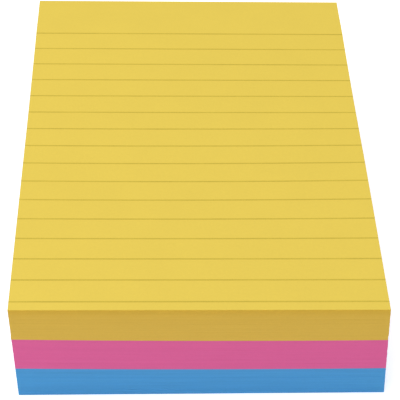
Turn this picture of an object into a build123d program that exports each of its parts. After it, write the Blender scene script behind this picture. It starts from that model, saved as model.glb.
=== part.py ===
from build123d import *
import os

# A block of sticky notes: three pads of one size, stacked and squared up, the top one ruled.
# Millimetres. X runs across the notes, Y from their free front edge to their gummed back edge.
# The origin is the middle of the block's footprint, on the table.

# The note, and how many of them make a pad
note_width = 101.6
note_length = 152.4
sheets_per_pad = 100

# The pads, from the table up
blue_thickness = 10.25
pink_thickness = 11.15
yellow_thickness = 11.3

# The block leans to the left: from its lowest sheet to its highest by this much
block_lean = 1.05

# No sheet lies quite in line with the next: each is out by its share of this jog,
# and the two rounds of shares differ in length, so that the edges show no regular teeth
sheet_jog = 0.03
jog_across_shares = (0.9, -0.5, 0.3, -1.0, 0.5)
jog_along_shares = (-0.7, 0.6, -0.2, 1.0, -0.5, 0.3, -1.0)

# The lines printed on the top sheet, from edge to edge, as far down the note as they go
rule_pitch = 8.58
rule_width = 0.52
first_rule_inset = 20.45
least_front_inset = 2.5
ink_depth = 0.04

# Heights of the seams between the pads
pink_bottom = blue_thickness
yellow_bottom = pink_bottom + pink_thickness
block_height = yellow_bottom + yellow_thickness


def sheet_plane(pad_bottom, pad_thickness, sheet):
    """The plane under one sheet of a pad, where the lean and the sheet's own jog put it."""
    height = pad_bottom + pad_thickness * sheet / sheets_per_pad
    lean = block_lean / 2 - block_lean * height / block_height
    across = lean + sheet_jog * jog_across_shares[sheet % len(jog_across_shares)]
    along = sheet_jog * jog_along_shares[sheet % len(jog_along_shares)]
    return Plane(origin=(across, along, height))


def stacked_sheets(pad_bottom, pad_thickness):
    """A pad: every sheet a thin slab in its own place, gummed into one solid."""
    with BuildPart() as pad:
        for sheet in range(sheets_per_pad):
            with BuildSketch(sheet_plane(pad_bottom, pad_thickness, sheet)):
                Rectangle(note_width, note_length)
        extrude(amount=pad_thickness / sheets_per_pad)
    return pad


# The two lower pads
blue_pad = stacked_sheets(0, blue_thickness)
pink_pad = stacked_sheets(pink_bottom, pink_thickness)

# The ruling, as thin as ink, its face level with the top sheet's and its ends with the sheet's sides
top_sheet = sheet_plane(yellow_bottom, yellow_thickness, sheets_per_pad - 1)
sheet_thickness = yellow_thickness / sheets_per_pad
ruled_length = note_length - first_rule_inset - least_front_inset
rule_count = int(ruled_length // rule_pitch) + 1
first_rule = note_length / 2 - first_rule_inset

with BuildPart() as ruled_lines:
    with BuildSketch(top_sheet.offset(sheet_thickness)):
        with Locations(*[(0, first_rule - rule_pitch * rule) for rule in range(rule_count)]):
            Rectangle(note_width, rule_width)
    extrude(amount=-ink_depth)

# The top pad, with the ruling let into its top sheet
with BuildPart() as yellow_pad:
    add(stacked_sheets(yellow_bottom, yellow_thickness).part)
    add(ruled_lines.part, mode=Mode.SUBTRACT)

os.makedirs("parts", exist_ok=True)

blue_pad.part.label = "blue_pad"
export_step(blue_pad.part, "parts/blue_pad.step")

pink_pad.part.label = "pink_pad"
export_step(pink_pad.part, "parts/pink_pad.step")

yellow_pad.part.label = "yellow_pad"
export_step(yellow_pad.part, "parts/yellow_pad.step")

ruled_lines.part.label = "ruled_lines"
export_step(ruled_lines.part, "parts/ruled_lines.step")
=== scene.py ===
# %% [markdown]
# # A block of sticky notes
# Three pads of sticky notes lie squared up on one another: yellow on top, pink in the middle, blue below.
# Their solids were measured and built first, as a CAD model. They come in here as a frame that never moves,
# and Blender makes what the eye sees: sheets of paper that have settled, their cut edges, and printed lines.
# The frame's own box is kept, to show at the end that the finished block is no larger than the measured one.

# %% Load the measured block
import math

import bpy
from mathutils import Matrix, Vector


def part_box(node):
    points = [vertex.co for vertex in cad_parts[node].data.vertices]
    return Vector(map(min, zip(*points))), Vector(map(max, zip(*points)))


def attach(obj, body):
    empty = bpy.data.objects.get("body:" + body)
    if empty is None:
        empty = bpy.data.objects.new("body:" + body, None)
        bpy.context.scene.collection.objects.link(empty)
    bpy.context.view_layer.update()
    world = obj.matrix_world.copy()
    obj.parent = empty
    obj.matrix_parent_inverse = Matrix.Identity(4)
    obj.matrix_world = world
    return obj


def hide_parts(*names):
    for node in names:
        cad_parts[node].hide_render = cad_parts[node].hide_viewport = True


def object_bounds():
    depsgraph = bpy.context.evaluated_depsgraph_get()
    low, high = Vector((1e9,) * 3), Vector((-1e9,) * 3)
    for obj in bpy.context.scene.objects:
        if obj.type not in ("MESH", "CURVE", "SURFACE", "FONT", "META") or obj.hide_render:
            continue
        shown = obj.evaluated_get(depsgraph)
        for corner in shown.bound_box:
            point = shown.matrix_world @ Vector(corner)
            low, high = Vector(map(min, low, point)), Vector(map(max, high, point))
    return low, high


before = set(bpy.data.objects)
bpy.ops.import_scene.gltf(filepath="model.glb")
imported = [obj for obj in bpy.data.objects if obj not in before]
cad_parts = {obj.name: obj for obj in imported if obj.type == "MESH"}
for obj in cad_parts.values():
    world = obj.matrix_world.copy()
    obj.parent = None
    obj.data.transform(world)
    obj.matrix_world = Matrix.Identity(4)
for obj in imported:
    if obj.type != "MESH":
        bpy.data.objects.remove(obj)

mm = 0.001
cad_low, cad_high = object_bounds()
print("measured block in mm:", [round(side / mm, 2) for side in cad_high - cad_low])

# %% [markdown]
# Every size that the solids already hold is read from them, so that a change there is followed here.
# The block leans a little to the left, as a stack does that was squared up by hand. The middles of the
# highest and the lowest pad tell how far each sheet lies to the left of the one below it.
# The ruled lines run from one side of the top sheet to the other, so they tell how wide a note is.

# %% Read the sizes of the pads
pad_names = ("blue_pad", "pink_pad", "yellow_pad")
pad_boxes = {name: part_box(name) for name in pad_names}
pad_middles = {name: (low + high) / 2 for name, (low, high) in pad_boxes.items()}

block_height = cad_high.z
note_length = cad_high.y - cad_low.y
ruling_low, ruling_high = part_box("ruled_lines")
note_width = ruling_high.x - ruling_low.x

pad_step = pad_middles["yellow_pad"] - pad_middles["blue_pad"]
lean_slope = pad_step.x / pad_step.z
lean_start = pad_middles["blue_pad"].x - lean_slope * pad_middles["blue_pad"].z
top_middle_x = lean_start + lean_slope * block_height
print("note in mm:", round(note_width / mm, 2), round(note_length / mm, 2), "lean:", round(lean_slope, 4))

# %% [markdown]
# The camera comes first, because it says which details count. The photograph looks down on the near short
# edge, with strong perspective, so the eye is close: less than half a metre away. Its place was worked out
# from the corners of the block and from the ruled lines. Three turns bring a camera there: it is tipped up
# from looking straight down, swung a little to one side, and rolled a little about its own line of sight.

# %% Set up the camera
eye = Vector((-12.26, -367.71, 310.02)) * mm
look_down = math.radians(39.478)
swing_right = math.radians(2.19)
roll_left = math.radians(1.162)
image_pixels = 400
focal_pixels = 1520.3
film_width = 36

camera_data = bpy.data.cameras.new("photo_camera")
camera_data.sensor_width = film_width
camera_data.lens = focal_pixels / image_pixels * film_width
camera = bpy.data.objects.new("photo_camera", camera_data)
swing = Matrix.Rotation(-swing_right, 4, "Z")
tip = Matrix.Rotation(math.pi / 2 - look_down, 4, "X")
roll = Matrix.Rotation(roll_left, 4, "Z")
camera.matrix_world = Matrix.Translation(eye) @ swing @ tip @ roll
bpy.context.scene.collection.objects.link(camera)
bpy.context.scene.camera = camera
print("lens in mm:", round(camera_data.lens, 1))

# %% [markdown]
# The light is that of a white studio: a dim white room all round, and one lamp overhead that is so wide
# that its shadow has no edge. The top sheet then gets about a fifth more light than the front, and the
# colours stay plain. The view transform is set to Standard, because Blender's own choice would soften the
# colours, as film does.

# %% Light the studio
white = (1, 1, 1, 1)
room_light = 0.20
lamp_share = 0.82
lamp_width = math.radians(80)
lamp_lean_left = math.radians(8)

room = bpy.data.worlds.new("white_room")
room.use_nodes = True
room_shader = room.node_tree.nodes["Background"]
room_shader.inputs["Color"].default_value = white
room_shader.inputs["Strength"].default_value = room_light
bpy.context.scene.world = room

wide_lamp_data = bpy.data.lights.new("wide_lamp", "SUN")
wide_lamp_data.energy = lamp_share * math.pi
wide_lamp_data.angle = lamp_width
wide_lamp = bpy.data.objects.new("wide_lamp", wide_lamp_data)
wide_lamp.rotation_euler = (0, -lamp_lean_left, 0)
bpy.context.scene.collection.objects.link(wide_lamp)
bpy.context.scene.view_settings.view_transform = "Standard"
print("share of light from the room and the wide lamp:", room_light, lamp_share)

# %% [markdown]
# In the photograph the left of the block is a shade brighter than the right, and the wide lamp is too even
# for that. So a small soft lamp stands at the left. An area lamp shines along its own -Z axis, so it is
# turned until its +Z axis points away from the block.

# %% Add a small lamp at the left
side_lamp_power = 0.9
side_lamp_size = 0.35
side_lamp_place = Vector((-0.50, -0.15, 0.40))

side_lamp_data = bpy.data.lights.new("side_lamp", "AREA")
side_lamp_data.energy = side_lamp_power
side_lamp_data.size = side_lamp_size
side_lamp = bpy.data.objects.new("side_lamp", side_lamp_data)
side_lamp.location = side_lamp_place
side_lamp.rotation_euler = side_lamp_place.to_track_quat("Z", "Y").to_euler()
bpy.context.scene.collection.objects.link(side_lamp)
print("side lamp in m from the block:", round(side_lamp_place.length, 2))

# %% [markdown]
# The floor is a plain pale sheet that reaches far past the picture. It could be lit by the lamps alone, but
# then the block would stand in a grey haze of its own shade. So it also glows faintly, like a photographer's
# light table: it stays white up to the foot of the block, and throws light back up at the lower pads.
# It lies a hair below the block, because two faces in the same place flicker.

# %% Lay the floor
floor_reach = 3.0
floor_gap = 0.02 * mm
floor_colour = (0.96, 0.96, 0.96, 1)
floor_glow = 0.36
floor_roughness = 0.9
floor_shine = 0.1

floor_corners = [(-1, -1), (1, -1), (1, 1), (-1, 1)]
floor_points = [(x * floor_reach, y * floor_reach, -floor_gap) for x, y in floor_corners]
floor_mesh = bpy.data.meshes.new("floor")
floor_mesh.from_pydata(floor_points, [], [(0, 1, 2, 3)])
floor = bpy.data.objects.new("floor", floor_mesh)
bpy.context.scene.collection.objects.link(floor)

floor_paint = bpy.data.materials.new("pale_floor")
floor_paint.use_nodes = True
floor_shader = floor_paint.node_tree.nodes["Principled BSDF"]
floor_shader.inputs["Base Color"].default_value = floor_colour
floor_shader.inputs["Roughness"].default_value = floor_roughness
floor_shader.inputs["Specular IOR Level"].default_value = floor_shine
floor_shader.inputs["Emission Color"].default_value = white
floor_shader.inputs["Emission Strength"].default_value = floor_glow
floor_mesh.materials.append(floor_paint)
print("floor in m:", 2 * floor_reach, "square")

# %% [markdown]
# Both the shapes and the finishes below are node trees, and most of a tree is sums. Wired box by box, a sum
# is hard to read in a script. So a small class stands for a number that runs through a tree: adding,
# multiplying or comparing it makes the Math node and its wires. A formula then reads as a formula.

# %% Write sums as node trees
def connect(tree, value, socket):
    """Wires a number that runs through the tree into a socket, or sets the socket to a plain value."""
    if isinstance(value, Amount):
        tree.links.new(value.output, socket)
    else:
        socket.default_value = value


def add_node(tree, kind, inputs=None, **settings):
    """Adds a node with its settings, and fills the inputs that are named."""
    node = tree.nodes.new(kind)
    for name, value in settings.items():
        setattr(node, name, value)
    for name, value in (inputs or {}).items():
        connect(tree, value, node.inputs[name])
    return node


class Amount:
    """What comes out of a node, ready to be written into a sum."""

    def __init__(self, tree, output):
        self.tree = tree
        self.output = output

    def math(self, operation, *others):
        """Adds a Math node that works on this amount and the others."""
        node = self.tree.nodes.new("ShaderNodeMath")
        node.operation = operation
        for value, socket in zip((self, *others), node.inputs):
            connect(self.tree, value, socket)
        return Amount(self.tree, node.outputs[0])

    def __add__(self, other):
        return self.math("ADD", other)

    def __sub__(self, other):
        return self.math("SUBTRACT", other)

    def __mul__(self, other):
        return self.math("MULTIPLY", other)

    def __truediv__(self, other):
        return self.math("DIVIDE", other)

    def __rsub__(self, other):
        return self.math("MULTIPLY", -1) + other

    def __gt__(self, other):
        return self.math("GREATER_THAN", other)

    def __lt__(self, other):
        return self.math("LESS_THAN", other)

    __radd__ = __add__
    __rmul__ = __mul__


print("an amount can be added, subtracted, multiplied, divided and compared")

# %% [markdown]
# A place is a vector, three numbers that run through a tree together. The rules below treat across, along
# and up differently, so two helpers take a vector apart and put one together.

# %% Take vectors apart and put them together
def split(tree, vector):
    """The three parts of a vector, as amounts."""
    parts = add_node(tree, "ShaderNodeSeparateXYZ", {"Vector": vector})
    return [Amount(tree, output) for output in parts.outputs]


def joined(tree, x, y, z=0.0):
    """A vector made of three amounts or plain numbers."""
    whole = add_node(tree, "ShaderNodeCombineXYZ", {"X": x, "Y": y, "Z": z})
    return Amount(tree, whole.outputs[0])


print("a vector holds three amounts: across, along and up")

# %% [markdown]
# Nothing on paper is quite regular, so every pattern starts from noise, soft spots of about one size.
# Stretched in two directions, the same noise turns into bands or hairlines. A colour is then made a little
# lighter or darker by a tone near 1, which keeps its hue, or it is mixed with a second colour.
# A Mix node has sockets for numbers, vectors and colours under the same names, so the sockets for colours
# are picked by their places in its lists.

# %% Write the patterns of paper
noise_roughness = 0.55
noise_middle = 0.5
noise_gain = 4
mix_first, mix_second, mix_result = 6, 7, 2


def noise(tree, place, size, detail):
    """Soft noise from about -1 to 1, with spots of this size, the same or different in each direction."""
    sizes = size if isinstance(size, Vector) else Vector((size, size, size))
    mapping = add_node(tree, "ShaderNodeMapping", {"Vector": place, "Scale": [1 / side for side in sizes]})
    stretched = Amount(tree, mapping.outputs[0])
    settings = {"Vector": stretched, "Scale": 1.0, "Detail": detail, "Roughness": noise_roughness}
    texture = add_node(tree, "ShaderNodeTexNoise", settings)
    return (Amount(tree, texture.outputs[0]) - noise_middle) * noise_gain


def tinted(tree, colour, tone):
    """A colour made lighter or darker by a tone near 1."""
    scaled = add_node(tree, "ShaderNodeVectorMath", {"Scale": tone}, operation="SCALE")
    connect(tree, colour, scaled.inputs[0])
    return Amount(tree, scaled.outputs[0])


def mixed(tree, share, first, second):
    """The first colour where the share is 0, the second where it is 1."""
    mix = add_node(tree, "ShaderNodeMix", {"Factor": share}, data_type="RGBA")
    for colour, place in ((first, mix_first), (second, mix_second)):
        whole_colour = colour if isinstance(colour, Amount) else (*colour, 1)
        connect(tree, whole_colour, mix.inputs[place])
    return Amount(tree, mix.outputs[mix_result])


print("noise runs from", -noise_middle * noise_gain, "to", noise_middle * noise_gain, "at the very most")

# %% [markdown]
# Sticky note paper is matt and uncoated, dyed right through. From near by, its face is slightly cloudy,
# where the fibres lie thicker or thinner. The cut edges of a pad look different: they are a pile of
# hairlines, some a little lighter or darker, in faint bands along the sheets.
# Patterns that went by the place in the room would cut across the sheets, because the pile has settled.
# So they read how high a sheet lay before that, which the mesh keeps as a layer.

# %% Lay the patterns over the sheets
height_layer = "flat_height"
face_slope = 0.5
cloud_size = 14 * mm
fibre_size = 0.7 * mm
band_size = Vector((60, 60, 0.7)) * mm
hairline_size = Vector((25, 25, 0.12)) * mm


def sheet_patterns(tree):
    """How high a spot lay before the pile settled, whether it is on a face, and the patterns there."""
    spot = Amount(tree, add_node(tree, "ShaderNodeTexCoord").outputs["Object"])
    spot_x, spot_y, _ = split(tree, spot)
    layer = add_node(tree, "ShaderNodeAttribute", attribute_name=height_layer)
    flat_height = Amount(tree, layer.outputs["Fac"])
    place = joined(tree, spot_x, spot_y, flat_height)
    facing = Amount(tree, add_node(tree, "ShaderNodeNewGeometry").outputs["True Normal"])
    _, _, facing_up = split(tree, facing)
    on_face = facing_up.math("ABSOLUTE") > face_slope
    patterns = {
        "clouds": noise(tree, place, cloud_size, detail=3),
        "fibres": noise(tree, place, fibre_size, detail=4),
        "bands": noise(tree, place, band_size, detail=2),
        "hairlines": noise(tree, place, hairline_size, detail=1),
    }
    return flat_height, on_face, patterns


print("spots in mm, clouds and fibres:", round(cloud_size / mm, 1), round(fibre_size / mm, 1))

# %% [markdown]
# One tree gives the look of the faces and that of the edges, and the way a face points chooses between them.
# A face has a fine tooth that breaks up the light. An edge has its bands and a darker colour, which is
# painted shade, and at the crest of a pad, the highest millimetre or two, the painted shade is deeper.

# %% Make the paper
cloud_tone = 0.012
fibre_tone = 0.018
band_share = 0.6
hairline_share = 0.8
edge_grain = 0.02
crest_depth = 1.6 * mm
paper_roughness = 0.88
roughness_spread = 0.05
tooth_strength = 0.35
tooth_depth = 0.02 * mm
paper_shine = 0.2


def paper(name, dye_and_shade, pad_top):
    """Dyed paper, cloudy on the faces of the sheets; the cut edges are banded and carry painted shade."""
    material = bpy.data.materials.new(name)
    material.use_nodes = True
    tree = material.node_tree
    shader = tree.nodes["Principled BSDF"]

    flat_height, on_face, patterns = sheet_patterns(tree)
    fibres = patterns["fibres"]
    hairlines = patterns["hairlines"]
    layers = patterns["bands"] * band_share + hairlines * hairline_share
    face_tone = 1 + patterns["clouds"] * cloud_tone + fibres * fibre_tone
    edge_tone = 1 + layers * dye_and_shade["bands"] + fibres * edge_grain

    # Painted shade: the edge colour is darker than the face, and darker still towards the top of a pad.
    crest = ((flat_height - pad_top) / crest_depth).math("EXPONENT")
    edge = tinted(tree, mixed(tree, crest, dye_and_shade["edge"], dye_and_shade["crest"]), edge_tone)
    face = tinted(tree, dye_and_shade["face"], face_tone)
    connect(tree, mixed(tree, on_face, edge, face), shader.inputs["Base Color"])
    connect(tree, paper_roughness + fibres * roughness_spread, shader.inputs["Roughness"])
    shader.inputs["Specular IOR Level"].default_value = paper_shine

    tooth = fibres * on_face + hairlines * (1 - on_face)
    relief = {"Strength": tooth_strength, "Distance": tooth_depth, "Height": tooth}
    bump = add_node(tree, "ShaderNodeBump", relief)
    tree.links.new(bump.outputs[0], shader.inputs["Normal"])
    print(name, "has", len(tree.nodes), "nodes")
    return material


print("depth of the deeper shade in mm:", round(crest_depth / mm, 1))

# %% [markdown]
# The three papers differ only in their dyes and in the shade painted on their edges. The colour of an edge
# is a shade darker than that of a face: painted shade, for the light that a pile swallows between its sheets.
# The crest colour paints a deeper shade near the top of a pad. The blue pad shows its bands most, and the
# yellow pad shows them least.

# %% Dye the papers and paint shade on their edges
# The face colours are the dyes; the edge and crest colours are the dyes with painted shade.
dyes_and_shades = {
    "yellow_pad": {
        "face": (0.722, 0.541, 0.084),
        "edge": (0.650, 0.427, 0.068),
        "crest": (0.632, 0.391, 0.037),
        "bands": 0.02,
    },
    "pink_pad": {
        "face": (0.770, 0.138, 0.355),
        "edge": (0.686, 0.121, 0.315),
        "crest": (0.686, 0.121, 0.309),
        "bands": 0.03,
    },
    "blue_pad": {
        "face": (0.081, 0.360, 0.720),
        "edge": (0.072, 0.323, 0.649),
        "crest": (0.076, 0.320, 0.624),
        "bands": 0.08,
    },
}
papers = {}
for name, dye_and_shade in dyes_and_shades.items():
    _, pad_high = pad_boxes[name]
    papers[name] = paper(name.replace("pad", "paper"), dye_and_shade, pad_high.z)

# %% [markdown]
# A pad of paper is never quite flat. The strips of gum near the back edge make it thicker there, so the top
# sheet stands a few tenths of a millimetre high over the gum and dips in front of it, and the ruled lines
# bow where it dips. Between its corners the pile sags a little, as the two seams at the front show.
# It is also a touch thinner on its right than on its left, and the seams between the pads tilt with that.
# All of it follows one rule for a place in the block: how far across, how far along, and how high up.
# The same rule is written into the tree of the pads and that of the lines, so the lines stay on the paper.

# %% Let the paper settle
gum_rise = 0.317 * mm
gum_place, gum_spread = 0.128, 0.049
dip_depth = 0.462 * mm
dip_place, dip_spread = 0.387, 0.153
belly_depth = 0.405 * mm
belly_place, belly_spread = 0.635, 0.19
right_lift = 0.256 * mm
lift_place, lift_spread = 0.614, 0.21
pile_sag = 0.427 * mm
pile_tilt = 0.38 * mm
right_loss = 0.345 * mm
top_clearance = 0.02 * mm


def swell(along, place, spread):
    """A soft hump, 1 high, round a place along the note."""
    offset = (along - place) / spread
    return (offset * offset * -1).math("EXPONENT")


def settled(across, along, up):
    """How far the paper lies from flat: across from -1 to 1, along from back 0 to front 1, up from 0 to 1."""
    inwards = 1 - across * across
    gum = swell(along, gum_place, gum_spread) * gum_rise
    dip = swell(along, dip_place, dip_spread) * dip_depth
    belly = swell(along, belly_place, belly_spread) * inwards * belly_depth
    lift = swell(along, lift_place, lift_spread) * across * right_lift
    top_sheet = gum - dip - belly + lift - (gum_rise + top_clearance) - (across + 1) * right_loss
    sag = (up * math.pi).math("SINE") * (inwards * pile_sag + across * pile_tilt)
    return top_sheet * up - sag


print("gum rise, dip and sag in mm:", [round(size / mm, 2) for size in (gum_rise, dip_depth, pile_sag)])

# %% [markdown]
# A pad could be a box with lines painted on its sides, but its edge would be a ruler's edge, and it would
# catch the light like a plank. It could be a hundred separate slabs, but nearly all faces would be hidden.
# A pad is gummed into one thing, so here it is one closed skin, and one Geometry Nodes tree makes all three.
# The tree gets a named input for each size. Like every tree here it ends in real geometry with one material.

# %% Set up a tree with named inputs
def new_tree(name, inputs):
    """An empty Geometry Nodes tree with these inputs, and its inputs as amounts."""
    tree = bpy.data.node_groups.new(name, "GeometryNodeTree")
    tree.is_modifier = True
    for label, kind in inputs.items():
        tree.interface.new_socket(label, in_out="INPUT", socket_type=kind)
    tree.interface.new_socket("Shape", in_out="OUTPUT", socket_type="NodeSocketGeometry")
    entry = tree.nodes.new("NodeGroupInput")
    return tree, {label: Amount(tree, entry.outputs[label]) for label in inputs}


def end_tree(tree, shape, material):
    """Ends a tree: real geometry, one material, and out."""
    real = add_node(tree, "GeometryNodeRealizeInstances", {"Geometry": shape})
    real_shape = Amount(tree, real.outputs[0])
    dressed = add_node(tree, "GeometryNodeSetMaterial", {"Geometry": real_shape, "Material": material})
    leave = tree.nodes.new("NodeGroupOutput")
    tree.links.new(dressed.outputs[0], leave.inputs[0])


number = "NodeSocketFloat"
count = "NodeSocketInt"
finish = "NodeSocketMaterial"
pad_inputs = {
    "Width": number,
    "Length": number,
    "Bottom": number,
    "Thickness": number,
    "Sheets": count,
    "Jog": number,
    "Drift": number,
    "Slip": number,
    "Slip Depth": number,
    "Seed": count,
    "Paper": finish,
}
pad_tree, pad = new_tree("stacked_sheets", pad_inputs)
print("inputs of a pad:", ", ".join(pad))

# %% [markdown]
# The skin starts as a box whose sides are cut into loops, two for every sheet: one round its lower face and
# one round its upper face. Counted from the bottom, the number of a loop tells which sheet it belongs to.
# A place on the box is also put as shares of the whole, because the rule for settled paper reads shares.

# %% Cut a box into loops of sheet edges
steps_across = 12
steps_along = 36
loops_per_sheet = 2
rounding_guard = 0.01
half = 0.5

loops = pad["Sheets"] * loops_per_sheet
box_size = joined(pad_tree, pad["Width"], pad["Length"], 1.0)
box_inputs = {
    "Size": box_size,
    "Vertices X": steps_across + 1,
    "Vertices Y": steps_along + 1,
    "Vertices Z": loops,
}
box = add_node(pad_tree, "GeometryNodeMeshCube", box_inputs)

place = Amount(pad_tree, add_node(pad_tree, "GeometryNodeInputPosition").outputs[0])
place_x, place_y, place_z = split(pad_tree, place)
across = place_x / pad["Width"] * 2
along = half - place_y / pad["Length"]
from_bottom = place_z + half
loop = (from_bottom * (loops - 1)).math("ROUND")
sheet = (loop / loops_per_sheet + rounding_guard).math("FLOOR")
is_upper = loop - sheet * loops_per_sheet
share = (sheet + is_upper) / pad["Sheets"]
print("faces round one sheet:", 2 * (steps_across + steps_along))

# %% [markdown]
# So that the finish of a pad can be painted onto a square picture, its skin is laid flat, like the net of a
# carton: the top face large, the bottom face small, and the four sides as long strips.
# A map that Blender cuts by itself would break the sides into thousands of slivers. Each part of the net
# is given by its left and low edge, its width and its height, as shares of the picture.

# %% Lay the skin of a pad flat
net = {
    "top": (0.01, 0.01, 0.50, 0.75),
    "bottom": (0.52, 0.01, 0.25, 0.375),
    "left": (0.01, 0.78, 0.98, 0.10),
    "right": (0.01, 0.89, 0.98, 0.10),
    "front": (0.79, 0.01, 0.095, 0.75),
    "back": (0.895, 0.01, 0.095, 0.75),
}
normal_node = add_node(pad_tree, "GeometryNodeInputNormal")
face_normal = add_node(pad_tree, "GeometryNodeFieldOnDomain", data_type="FLOAT_VECTOR", domain="FACE")
pad_tree.links.new(normal_node.outputs["Normal"], face_normal.inputs[0])
facing_x, facing_y, facing_z = split(pad_tree, Amount(pad_tree, face_normal.outputs[0]))

from_left = across * half + half
net_views = {
    "top": (facing_z > face_slope, from_left, along),
    "bottom": (facing_z < -face_slope, from_left, along),
    "left": (facing_x < -face_slope, along, from_bottom),
    "right": (facing_x > face_slope, along, from_bottom),
    "front": (facing_y < -face_slope, from_bottom, from_left),
    "back": (facing_y > face_slope, from_bottom, from_left),
}
net_u, net_v = 0.0, 0.0
for side, (is_side, side_u, side_v) in net_views.items():
    start_u, start_v, span_u, span_v = net[side]
    net_u = is_side * (side_u * span_u + start_u) + net_u
    net_v = is_side * (side_v * span_v + start_v) + net_v

mapped = add_node(pad_tree, "GeometryNodeStoreNamedAttribute", data_type="FLOAT2", domain="CORNER")
pad_tree.links.new(box.outputs["Mesh"], mapped.inputs["Geometry"])
mapped.inputs["Name"].default_value = "OFBake"
connect(pad_tree, joined(pad_tree, net_u, net_v), mapped.inputs["Value"])
print("sides of the net:", ", ".join(net))

# %% [markdown]
# A face can be shaded flat, with one direction of light all over, or smooth, blending into its neighbours.
# The top and bottom sheets bend softly, so they are smooth. The cut edges of the sheets are flat, so that
# each one catches the light by itself. The rim between the two is marked sharp: if the light blended over
# it, the top sheet would turn dark along its border.

# %% Shade the sheets and their edges
rim_angle = 0.5

is_sheet = facing_z.math("ABSOLUTE") > face_slope
edged = add_node(pad_tree, "GeometryNodeSetShadeSmooth", {"Shade Smooth": False})
pad_tree.links.new(mapped.outputs[0], edged.inputs[0])
eased = add_node(pad_tree, "GeometryNodeSetShadeSmooth", {"Selection": is_sheet, "Shade Smooth": True})
pad_tree.links.new(edged.outputs[0], eased.inputs[0])
edge_angle = Amount(pad_tree, add_node(pad_tree, "GeometryNodeInputMeshEdgeAngle").outputs[0])
rim = {"Selection": edge_angle > rim_angle, "Shade Smooth": False}
sharp = add_node(pad_tree, "GeometryNodeSetShadeSmooth", rim, domain="EDGE")
pad_tree.links.new(eased.outputs[0], sharp.inputs[0])
print("rims sharper than", round(math.degrees(rim_angle)), "degrees stay sharp")

# %% [markdown]
# No sheet lies quite in line with the next. Its number draws a small random step to the side, always the
# same for the same seed, and a slow wander over the height moves neighbours together, as hands leave them
# when they knock a pile square.

# %% Give every sheet a step of its own
drift_height = 1.6 * mm
drift_detail = 2.0
drift_start_x = 3.7
drift_start_y = 41.3

sheet_height = pad["Bottom"] + sheet / pad["Sheets"] * pad["Thickness"]
sheet_number = add_node(pad_tree, "FunctionNodeFloatToInt", {"Float": sheet}, rounding_mode="ROUND")
step_inputs = {
    "Min": (-1, -1, 0),
    "Max": (1, 1, 0),
    "ID": Amount(pad_tree, sheet_number.outputs[0]),
    "Seed": pad["Seed"],
}
step = add_node(pad_tree, "FunctionNodeRandomValue", step_inputs, data_type="FLOAT_VECTOR")
step_x, step_y, _ = split(pad_tree, Amount(pad_tree, step.outputs[0]))


def drifting(start):
    """A slow wander from sheet to sheet, from about -1 to 1."""
    settings = {"W": sheet_height / drift_height + start, "Scale": 1.0, "Detail": drift_detail}
    wander = add_node(pad_tree, "ShaderNodeTexNoise", settings, noise_dimensions="1D")
    return (Amount(pad_tree, wander.outputs[0]) - noise_middle) * noise_gain


loose_x = step_x * pad["Jog"] + drifting(drift_start_x) * pad["Drift"]
loose_y = step_y * pad["Jog"] + drifting(drift_start_y) * pad["Drift"]
print("height of a wander in mm:", round(drift_height / mm, 1))

# %% [markdown]
# Now each sheet goes to where it lies. Its height gives its lean, and the lowest sheets of a pad can slip
# further to the left. The top sheet of a pad takes no step, so that the ruled lines meet its sides.
# The height before the paper settles is kept on the mesh as the layer that the papers read.

# %% Move every sheet to its place
height = pad["Bottom"] + share * pad["Thickness"]
is_loose = sheet < pad["Sheets"] - 1
slipping = (1 - share * pad["Thickness"] / pad["Slip Depth"]).math("MAXIMUM", 0.0)
moved_x = loose_x * is_loose - slipping * pad["Slip"]
moved_y = loose_y * is_loose
new_x = place_x + height * lean_slope + lean_start + moved_x
new_y = place_y + moved_y
new_z = height + settled(across, along, height / block_height)

marked = add_node(pad_tree, "GeometryNodeStoreNamedAttribute", data_type="FLOAT", domain="POINT")
pad_tree.links.new(sharp.outputs[0], marked.inputs["Geometry"])
marked.inputs["Name"].default_value = height_layer
connect(pad_tree, height, marked.inputs["Value"])
moved = add_node(pad_tree, "GeometryNodeSetPosition", {"Position": joined(pad_tree, new_x, new_y, new_z)})
pad_tree.links.new(marked.outputs[0], moved.inputs["Geometry"])
end_tree(pad_tree, Amount(pad_tree, moved.outputs[0]), pad["Paper"])
print("nodes in the tree of a pad:", len(pad_tree.nodes))

# %% [markdown]
# A tree is run by a modifier on an empty object. Its inputs are set before it runs for the first time, and
# what it makes is kept as a plain mesh, so that nothing has to be worked out again later.

# %% Run a tree once
def made_by(tree, name, inputs):
    """Runs a tree once and keeps what it makes as a plain mesh, at the origin."""
    piece = bpy.data.objects.new(name, bpy.data.meshes.new(name + "_start"))
    bpy.context.scene.collection.objects.link(piece)
    modifier = piece.modifiers.new("tree", "NODES")
    modifier.node_group = tree
    for socket in tree.interface.items_tree:
        if socket.in_out == "INPUT":
            modifier[socket.identifier] = inputs[socket.name]
    depsgraph = bpy.context.evaluated_depsgraph_get()
    evaluated = piece.evaluated_get(depsgraph)
    mesh = bpy.data.meshes.new_from_object(evaluated, preserve_all_data_layers=True, depsgraph=depsgraph)
    piece.modifiers.remove(modifier)
    mesh.name = name
    piece.data = mesh
    print(name, "has", len(mesh.vertices), "points and", len(mesh.polygons), "faces")
    return piece


print("a tree is run once and leaves a plain mesh")

# %% [markdown]
# The pads are cut a tenth of a millimetre smaller than the solids, to leave the sheets room to stand out,
# and each top face is a few thousandths lower than the seam, so that no two faces share a place.
# Every finished pad stands for its solid, is carried by the block's one body, and names its paper.

# %% Make the three pads
sheets_per_pad = 100
trim = 0.10 * mm
pad_gap = 0.004 * mm
sheet_jog = 0.012 * mm
sheet_drift = 0.03 * mm
slips = {"blue_pad": 0.0, "pink_pad": 0.0, "yellow_pad": 0.15 * mm}
slip_depth = 2.2 * mm

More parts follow.
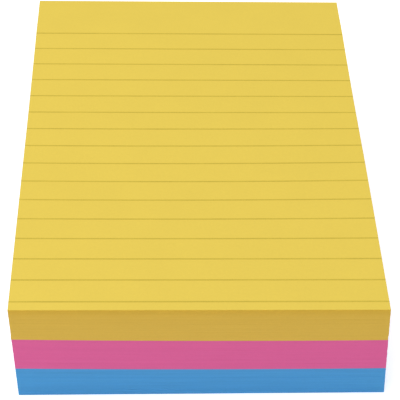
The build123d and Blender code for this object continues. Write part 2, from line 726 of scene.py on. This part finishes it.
for seed, name in enumerate(pad_names):
    low, high = pad_boxes[name]
    inputs = {
        "Width": note_width - trim,
        "Length": note_length - trim,
        "Bottom": low.z,
        "Thickness": high.z - low.z - pad_gap,
        "Sheets": sheets_per_pad,
        "Jog": sheet_jog,
        "Drift": sheet_drift,
        "Slip": slips[name],
        "Slip Depth": slip_depth,
        "Seed": seed,
        "Paper": papers[name],
    }
    sheets = made_by(pad_tree, name.replace("pad", "sheets"), inputs)
    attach(sheets, "root")
    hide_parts(name)

# %% [markdown]
# The ruling is printed in a thin olive ink, a darker shade of the paper, from edge to edge of the sheet.
# Lines could be painted by the material, but then the size of a picture would decide how sharp they are.
# Ink has a thickness, however small, so each line is a thin strip that lies on the sheet.
# The places of the lines are read from the measured strips, which come in pairs of long edges.

# %% Measure the ruling
edge_digits = 3
ruling_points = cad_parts["ruled_lines"].data.vertices
line_edges = sorted({round(point.co.y / mm, edge_digits) for point in ruling_points})
line_count = len(line_edges) // 2
line_width = (line_edges[1] - line_edges[0]) * mm
line_pitch = (line_edges[-2] - line_edges[0]) * mm / (line_count - 1)
first_line_y = line_edges[0] * mm + line_width / 2
print(line_count, "lines,", round(line_width / mm, 2), "mm wide,", round(line_pitch / mm, 2), "mm apart")

# %% [markdown]
# Printing ink on rough paper is uneven: it skips the fibres that lie deep and gathers along the line's edges.
# So the colour wanders along each line and breaks up in fine grain across it, and where the grain is dark
# the ink is also a little rougher.

# %% Mix the ink
ink_colour = (0.555, 0.416, 0.048)
ink_run_size = Vector((9, 0.5, 5)) * mm
ink_run_tone = 0.08
ink_grain_size = Vector((0.35, 0.2, 1)) * mm
ink_grain_tone = 0.10
ink_roughness = 0.75
ink_roughness_spread = 0.08
ink_shine = 0.25


def printing_ink(name, colour):
    """Thin matt ink on paper, uneven along a line and grainy across it."""
    material = bpy.data.materials.new(name)
    material.use_nodes = True
    tree = material.node_tree
    shader = tree.nodes["Principled BSDF"]
    place = Amount(tree, add_node(tree, "ShaderNodeTexCoord").outputs["Object"])
    runs = noise(tree, place, ink_run_size, detail=2)
    grain = noise(tree, place, ink_grain_size, detail=2)
    tone = 1 + runs * ink_run_tone + grain * ink_grain_tone
    connect(tree, tinted(tree, colour, tone), shader.inputs["Base Color"])
    connect(tree, ink_roughness - grain * ink_roughness_spread, shader.inputs["Roughness"])
    shader.inputs["Specular IOR Level"].default_value = ink_shine
    print(name, "has", len(tree.nodes), "nodes")
    return material


olive_ink = printing_ink("olive_ink", ink_colour)

# %% [markdown]
# All the lines are one bar, repeated on a row of points. Geometry Nodes puts the copies there as instances,
# light stand-ins that all share one bar.

# %% Repeat one bar
steps_in_line = 36
line_inputs = {
    "Length": number,
    "Width": number,
    "Depth": number,
    "Rise": number,
    "Lines": count,
    "First": number,
    "Pitch": number,
    "Note Length": number,
    "Height": number,
    "Ink": finish,
}
line_tree, line = new_tree("printed_lines", line_inputs)
bar_size = joined(line_tree, line["Length"], line["Width"], line["Depth"])
bar = add_node(line_tree, "GeometryNodeMeshCube", {"Size": bar_size, "Vertices X": steps_in_line + 1})
row_inputs = {
    "Count": line["Lines"],
    "Start Location": joined(line_tree, 0.0, line["First"]),
    "Offset": joined(line_tree, 0.0, line["Pitch"]),
}
row = add_node(line_tree, "GeometryNodeMeshLine", row_inputs, mode="OFFSET")
row_of_bars = add_node(line_tree, "GeometryNodeInstanceOnPoints")
line_tree.links.new(row.outputs[0], row_of_bars.inputs["Points"])
line_tree.links.new(bar.outputs["Mesh"], row_of_bars.inputs["Instance"])
print("inputs of the lines:", ", ".join(line))

# %% [markdown]
# The bars are made real before they are bent, because each line has to follow the paper below it, and every
# line lies on another part of the sheet. The rule for settled paper gives the height of each spot.

# %% Bend the lines with the paper
real_bars = add_node(line_tree, "GeometryNodeRealizeInstances")
line_tree.links.new(row_of_bars.outputs[0], real_bars.inputs[0])

spot = Amount(line_tree, add_node(line_tree, "GeometryNodeInputPosition").outputs[0])
spot_x, spot_y, spot_z = split(line_tree, spot)
spot_across = spot_x / line["Length"] * 2
spot_along = half - spot_y / line["Note Length"]
paper_z = line["Height"] + settled(spot_across, spot_along, line["Height"] / block_height)
ink_z = paper_z + line["Rise"] + spot_z - line["Depth"] / 2
bent_place = joined(line_tree, spot_x + top_middle_x, spot_y, ink_z)
bent = add_node(line_tree, "GeometryNodeSetPosition", {"Position": bent_place})
line_tree.links.new(real_bars.outputs[0], bent.inputs["Geometry"])
end_tree(line_tree, Amount(line_tree, bent.outputs[0]), line["Ink"])
print("nodes in the tree of the lines:", len(line_tree.nodes))

# %% [markdown]
# Real ink stands a hundredth of a millimetre or less above the paper, too little to see. The strips are a
# little thicker than that, and most of their thickness is below the face of the sheet, so that no light
# gets in under a line. Their ends stop a hair short of the sheet's sides, again so that no two faces
# share a place.

# %% Print the lines
line_rise = 0.012 * mm
line_depth = 0.04 * mm

inputs = {
    "Length": note_width - trim - 2 * pad_gap,
    "Width": line_width,
    "Depth": line_depth,
    "Rise": line_rise,
    "Lines": line_count,
    "First": first_line_y,
    "Pitch": line_pitch,
    "Note Length": note_length - trim,
    "Height": block_height - pad_gap,
    "Ink": olive_ink,
}
printed_lines = made_by(line_tree, "printed_lines", inputs)
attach(printed_lines, "root")
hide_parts("ruled_lines")
